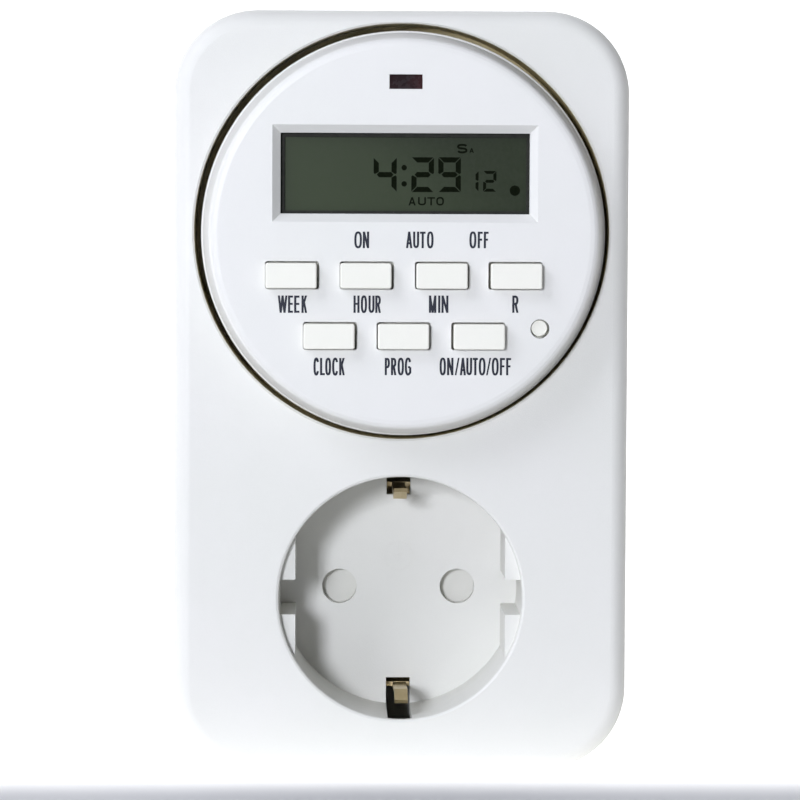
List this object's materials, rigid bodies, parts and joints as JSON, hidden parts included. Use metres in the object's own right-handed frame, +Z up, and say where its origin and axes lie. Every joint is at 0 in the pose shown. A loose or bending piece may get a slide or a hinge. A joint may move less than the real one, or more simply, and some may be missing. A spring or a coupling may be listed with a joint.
{
  "type": "plug-in weekly timer socket",
  "caption": "Plug-in digital weekly timer: a round display and key module above a round earthed mains socket, with the matching plug on the back.",
  "frame": {"origin": "centre of the plug's end face, on the common axis of the plug and the socket", "axes": "+Y into the wall along the plug pins, the front faces -Y, +Z up through the display, +X to the right seen from the front"},
  "size_m": [0.071, 0.0796, 0.119],
  "materials": {
    "housing_white": "satin, finely textured moulding",
    "module_white": "satin",
    "key_white": "satin gloss",
    "shutter_cream": "satin",
    "carrier_plastic": "satin",
    "lcd_black": "matt",
    "lcd_glass": "glossy, olive liquid-crystal panel",
    "reflector_film": "satin silver film",
    "elastomer": "matt",
    "led_lens": "dark red, polished",
    "led_epoxy": "red epoxy",
    "silicone": "matt",
    "pcb_phenolic": "brown phenolic laminate",
    "pcb_green": "green solder mask",
    "chip_epoxy": "matt black epoxy",
    "brass": "stamped strip, slightly dulled",
    "nickel": "nickel-plated brass, bright",
    "steel": "zinc-plated",
    "spring_steel": "wire",
    "soft_iron": "plated",
    "copper_wire": "enamelled copper winding",
    "relay_blue": "glossy",
    "bobbin_plastic": "satin",
    "capacitor_yellow": "glossy box",
    "capacitor_sleeve": "shrink sleeve",
    "varistor_blue": "dipped epoxy",
    "resistor_body": "lacquered",
    "fuse_sleeve": "glass-fibre sleeve",
    "wire_brown": "PVC insulation",
    "wire_black": "PVC insulation",
    "wire_blue": "PVC insulation",
    "ribbon_grey": "PVC insulation",
    "cell_steel": "nickel-plated can"
  },
  "bodies": {
    "housing": {"front_housing": "housing_white", "rear_housing": "housing_white", "housing_screws": "steel", "line_plug_pin": "nickel", "neutral_plug_pin": "nickel", "upper_earth_clip": "brass", "lower_earth_clip": "brass", "earth_bridge": "brass", "contact_carrier": "carrier_plastic", "carrier_screws": "steel", "line_socket_contact": "brass", "neutral_socket_contact": "brass", "shutter_spring": "spring_steel", "power_board": "pcb_phenolic", "board_screws": "steel", "relay_base": "relay_blue", "relay_case": "relay_blue", "relay_bobbin": "bobbin_plastic", "relay_winding": "copper_wire", "relay_yoke": "soft_iron", "relay_fixed_contacts": "brass", "film_capacitor": "capacitor_yellow", "electrolytic_capacitor": "capacitor_sleeve", "varistor": "varistor_blue", "rectifier_diodes": "chip_epoxy", "resistors": "resistor_body", "thermal_fuse": "fuse_sleeve", "relay_transistor": "chip_epoxy", "line_in_wire": "wire_brown", "switched_line_wire": "wire_black", "neutral_wire": "wire_blue", "module_front": "module_white", "module_back": "carrier_plastic", "module_screws": "steel", "lcd_frame": "lcd_black", "lcd_panel": "lcd_glass", "lcd_reflector": "reflector_film", "zebra_strips": "elastomer", "led_window": "led_lens", "status_led": "led_epoxy", "control_board": "pcb_green", "microcontroller": "chip_epoxy", "quartz_crystal": "cell_steel", "backup_battery": "cell_steel", "battery_tabs": "nickel", "keypad_membrane": "silicone", "ribbon_cable": "ribbon_grey"},
    "week_key": {"week_key": "key_white"},
    "hour_key": {"hour_key": "key_white"},
    "minute_key": {"minute_key": "key_white"},
    "random_key": {"random_key": "key_white"},
    "clock_key": {"clock_key": "key_white"},
    "program_key": {"program_key": "key_white"},
    "mode_key": {"mode_key": "key_white"},
    "reset_button": {"reset_button": "key_white"},
    "shutter": {"safety_shutter": "shutter_cream"},
    "relay_lever": {"relay_armature": "soft_iron", "relay_contact_spring": "brass"}
  },
  "joints": [
    {"name": "week_key_press", "type": "slide", "parent": "housing", "child": "week_key", "axis": [0, 1, 0], "range_m": [0, 0.0009], "stiffness_N_per_m": 250, "springref_m": -0.004, "deforming": ["keypad_membrane"]},
    {"name": "hour_key_press", "type": "slide", "parent": "housing", "child": "hour_key", "axis": [0, 1, 0], "range_m": [0, 0.0009], "stiffness_N_per_m": 250, "springref_m": -0.004, "deforming": ["keypad_membrane"]},
    {"name": "minute_key_press", "type": "slide", "parent": "housing", "child": "minute_key", "axis": [0, 1, 0], "range_m": [0, 0.0009], "stiffness_N_per_m": 250, "springref_m": -0.004, "deforming": ["keypad_membrane"]},
    {"name": "random_key_press", "type": "slide", "parent": "housing", "child": "random_key", "axis": [0, 1, 0], "range_m": [0, 0.0009], "stiffness_N_per_m": 250, "springref_m": -0.004, "deforming": ["keypad_membrane"]},
    {"name": "clock_key_press", "type": "slide", "parent": "housing", "child": "clock_key", "axis": [0, 1, 0], "range_m": [0, 0.0009], "stiffness_N_per_m": 250, "springref_m": -0.004, "deforming": ["keypad_membrane"]},
    {"name": "program_key_press", "type": "slide", "parent": "housing", "child": "program_key", "axis": [0, 1, 0], "range_m": [0, 0.0009], "stiffness_N_per_m": 250, "springref_m": -0.004, "deforming": ["keypad_membrane"]},
    {"name": "mode_key_press", "type": "slide", "parent": "housing", "child": "mode_key", "axis": [0, 1, 0], "range_m": [0, 0.0009], "stiffness_N_per_m": 250, "springref_m": -0.004, "deforming": ["keypad_membrane"]},
    {"name": "reset_button_press", "type": "slide", "parent": "housing", "child": "reset_button", "axis": [0, 1, 0], "range_m": [0, 0.0006], "stiffness_N_per_m": 250, "springref_m": -0.004, "deforming": ["keypad_membrane"]},
    {"name": "shutter_turn", "type": "hinge", "parent": "housing", "child": "shutter", "pos_m": [0, -0.0325, 0], "axis": [0, 1, 0], "range_deg": [0, 38], "stiffness_Nm_per_rad": 0.002, "springref_deg": -28.65, "deforming": ["shutter_spring"]},
    {"name": "relay_lever_pull", "type": "hinge", "parent": "housing", "child": "relay_lever", "pos_m": [-0.0254, -0.0344, 0.05725], "axis": [0, 0, 1], "range_deg": [0, 3.2], "stiffness_Nm_per_rad": 0.02, "springref_deg": -17.19}
  ]
}
